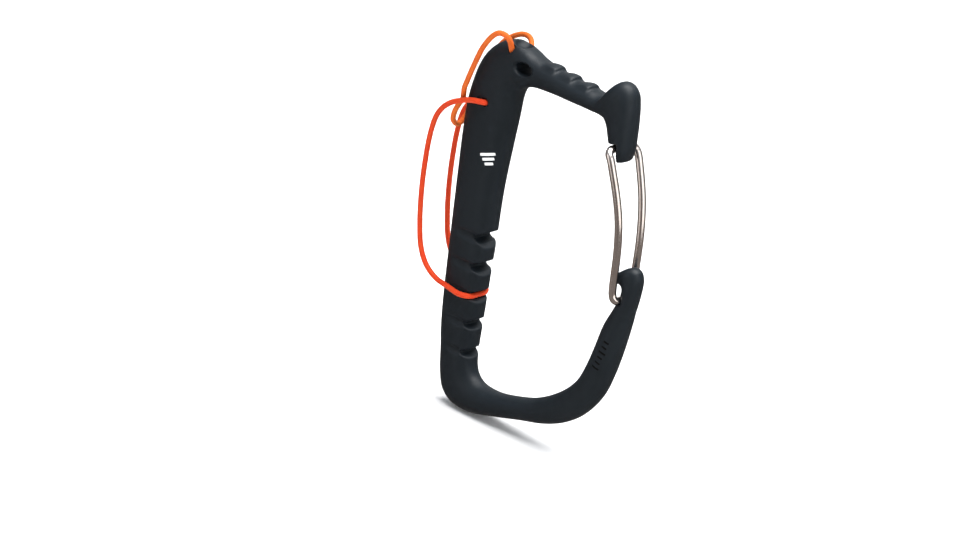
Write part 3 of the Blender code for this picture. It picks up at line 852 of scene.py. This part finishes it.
def slab_faces(base, columns, rows):
    """Faces of a thin slab whose two grids of points start at number base."""
    wide, layer = columns + 1, (columns + 1) * (rows + 1)
    faces = []
    for r in range(rows):
        for c in range(columns):
            a = base + r * wide + c
            faces.append((a, a + 1, a + 1 + wide, a + wide))
            faces.append(tuple(layer + i for i in (a, a + wide, a + 1 + wide, a + 1)))
    rim = [base + c for c in range(columns)]
    rim += [base + r * wide + columns for r in range(rows)]
    rim += [base + rows * wide + c for c in range(columns, 0, -1)]
    rim += [base + r * wide for r in range(rows, 0, -1)]
    for i, a in enumerate(rim):
        b = rim[(i + 1) % len(rim)]
        faces.append((b, a, a + layer, b + layer))
    return faces


def printed_bars(name, bars, body_tree, material):
    """Thin bars of ink on the near face. Each bar is (x, z, length, height, tilt in degrees)."""
    verts, faces = [], []
    for bar in bars:
        columns, rows = [max(4, round(size / INK_CELL)) for size in bar[2:4]]
        faces += slab_faces(len(verts), columns, rows)
        verts += ink_points(bar, columns, rows, body_tree)
    ink = mesh_object(name, verts, faces)
    in_metres(ink)
    ink.data.shade_smooth()
    ink.data.materials.append(material)
    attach(ink, "frame")


def make_marks(body):
    """A plain three-bar mark on the spine, and a row of load ticks on the lower arm."""
    tree = BVHTree.FromObject(body, bpy.context.evaluated_depsgraph_get())
    white = printed_ink("white_ink", (0.80, 0.81, 0.80), (0.30, 0.31, 0.31))
    black = printed_ink("black_ink", (0.0012, 0.0014, 0.0016), (0.0030, 0.0036, 0.0042))
    stack = [(17.0 + 0.55 * i, 23.6 - 1.9 * i, 7.0 - 1.7 * i, 1.15, 16) for i in range(3)]
    printed_bars("spine_mark", stack, tree, white)
    ticks = [(86.6 + 0.72 * i, -43.9 + 2.4 * i, 2.4 if i % 3 else 3.4, 0.8, -17) for i in range(6)]
    printed_bars("arm_ticks", ticks, tree, black)


make_marks(body)

# ------------------------------------------------------------------------------ gate wire

WIRE_SIDES = 32
WIRE_STEP = 0.5


def make_wire(material):
    """The gate wire, a little thinner at its two cut ends."""
    near = through(GATE_HALF_WIRE, WIRE_STEP)
    line, places = spaced(np.vstack([near[::-1], (near * (1, -1, 1))[1:]]), WIRE_STEP)
    radii = np.full(len(line), WIRE_D / 2)
    radii[[0, -1]] *= 0.8
    wire = swept("gate_wire", line, radii[:, None], WIRE_SIDES)
    add_uv(wire, len(line), WIRE_SIDES, places)
    in_metres(wire)
    wire.data.shade_smooth()
    wire.data.materials.append(material)
    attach(wire, "gate")
    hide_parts("wire_gate")


make_wire(drawn_steel())

# ------------------------------------------------------------------------------ floor and light


# In metres: the flat floor's radius, the bend up into the wall, the wall's top, the space left
# under the object, and the point that the lights face.
FLOOR_R = 2.2
FLOOR_BEND_R = 1.2
WALL_TOP = 3.2
FLOOR_GAP = 0.0003
LIGHTS_AIM = (0.05, 0.0, 0.0)
STAGE_SIDES = 96


def stage_paint():
    """Matt pale paint, very slightly uneven."""
    n = Nodes("stage_paint", Roughness=0.85)
    tone = n.ramp(n.noise(1.5), (0.3, (0.84, 0.84, 0.84)), (0.7, (0.86, 0.86, 0.86)))
    n.join(tone, n.shader.inputs["Base Color"])
    return n.mat


def make_stage():
    """A pale floor that turns up into a wall all round."""
    floor_z = CAD_BOX[0].z - FLOOR_GAP
    profile = [(FLOOR_R, 0.0)]
    for t in np.linspace(0.1, math.pi / 2, 14):
        profile.append((FLOOR_R + FLOOR_BEND_R * math.sin(t), FLOOR_BEND_R * (1 - math.cos(t))))
    profile.append((FLOOR_R + FLOOR_BEND_R, WALL_TOP))
    angles = 2 * math.pi * np.arange(STAGE_SIDES) / STAGE_SIDES
    verts = [(r * math.cos(a), r * math.sin(a), floor_z + z) for r, z in profile for a in angles]
    verts.append((0, 0, floor_z))
    faces = [(s, (s + 1) % STAGE_SIDES, len(verts) - 1) for s in range(STAGE_SIDES)]
    for r in range(len(profile) - 1):
        for s in range(STAGE_SIDES):
            a, b = r * STAGE_SIDES + s, r * STAGE_SIDES + (s + 1) % STAGE_SIDES
            faces.append((a, a + STAGE_SIDES, b + STAGE_SIDES, b))
    stage = mesh_object("stage", verts, faces)
    stage.data.shade_smooth()
    stage.data.materials.append(stage_paint())
    stage.visible_glossy = False


def soft_light(name, spot, power, size):
    """A white area light that faces the middle of the object. Its spot and size are in metres."""
    data = bpy.data.lights.new(name, "AREA")
    data.energy = power
    data.shape = "RECTANGLE"
    data.size, data.size_y = size
    lamp = bpy.data.objects.new(name, data)
    bpy.context.scene.collection.objects.link(lamp)
    lamp.location = spot
    lamp.visible_camera = False
    lamp.rotation_euler = (Vector(spot) - Vector(LIGHTS_AIM)).to_track_quat("Z", "Y").to_euler()


def make_world():
    """A dim room: cool and light overhead, darkest at eye level, and warm towards the floor."""
    world = bpy.data.worlds.new("world")
    world.use_nodes = True
    tree = world.node_tree
    way = tree.nodes.new("ShaderNodeTexCoord")
    split = tree.nodes.new("ShaderNodeSeparateXYZ")
    height = tree.nodes.new("ShaderNodeMapRange")
    tone = tree.nodes.new("ShaderNodeValToRGB")
    height.inputs["From Min"].default_value = -1.0
    tree.links.new(way.outputs["Generated"], split.inputs[0])
    tree.links.new(split.outputs["Z"], height.inputs["Value"])
    tree.links.new(height.outputs[0], tone.inputs[0])
    tree.links.new(tone.outputs[0], tree.nodes["Background"].inputs["Color"])
    stops = [
        (0.30, (0.22, 0.20, 0.19)),
        (0.47, (0.16, 0.145, 0.14)),
        (0.60, (0.20, 0.20, 0.21)),
        (0.90, (0.45, 0.48, 0.52)),
    ]
    elements = tone.color_ramp.elements
    while len(elements) < len(stops):
        elements.new(0.5)
    for element, (place, colour) in zip(elements, stops):
        element.position = place
        element.color = (*colour, 1.0)
    bpy.context.scene.world = world


make_stage()
make_world()
soft_light("overhead", (0.35, 0.1, 1.4), 57, (1.5, 1.3))
soft_light("right_panel", (1.75, -0.15, 0.45), 13, (1.8, 1.6))
soft_light("left_panel", (-0.45, -1.70, 0.25), 5, (1.0, 1.6))
soft_light("back_panel", (-0.60, 1.60, 0.40), 4, (1.4, 1.6))
bpy.context.scene.view_settings.view_transform = "Standard"
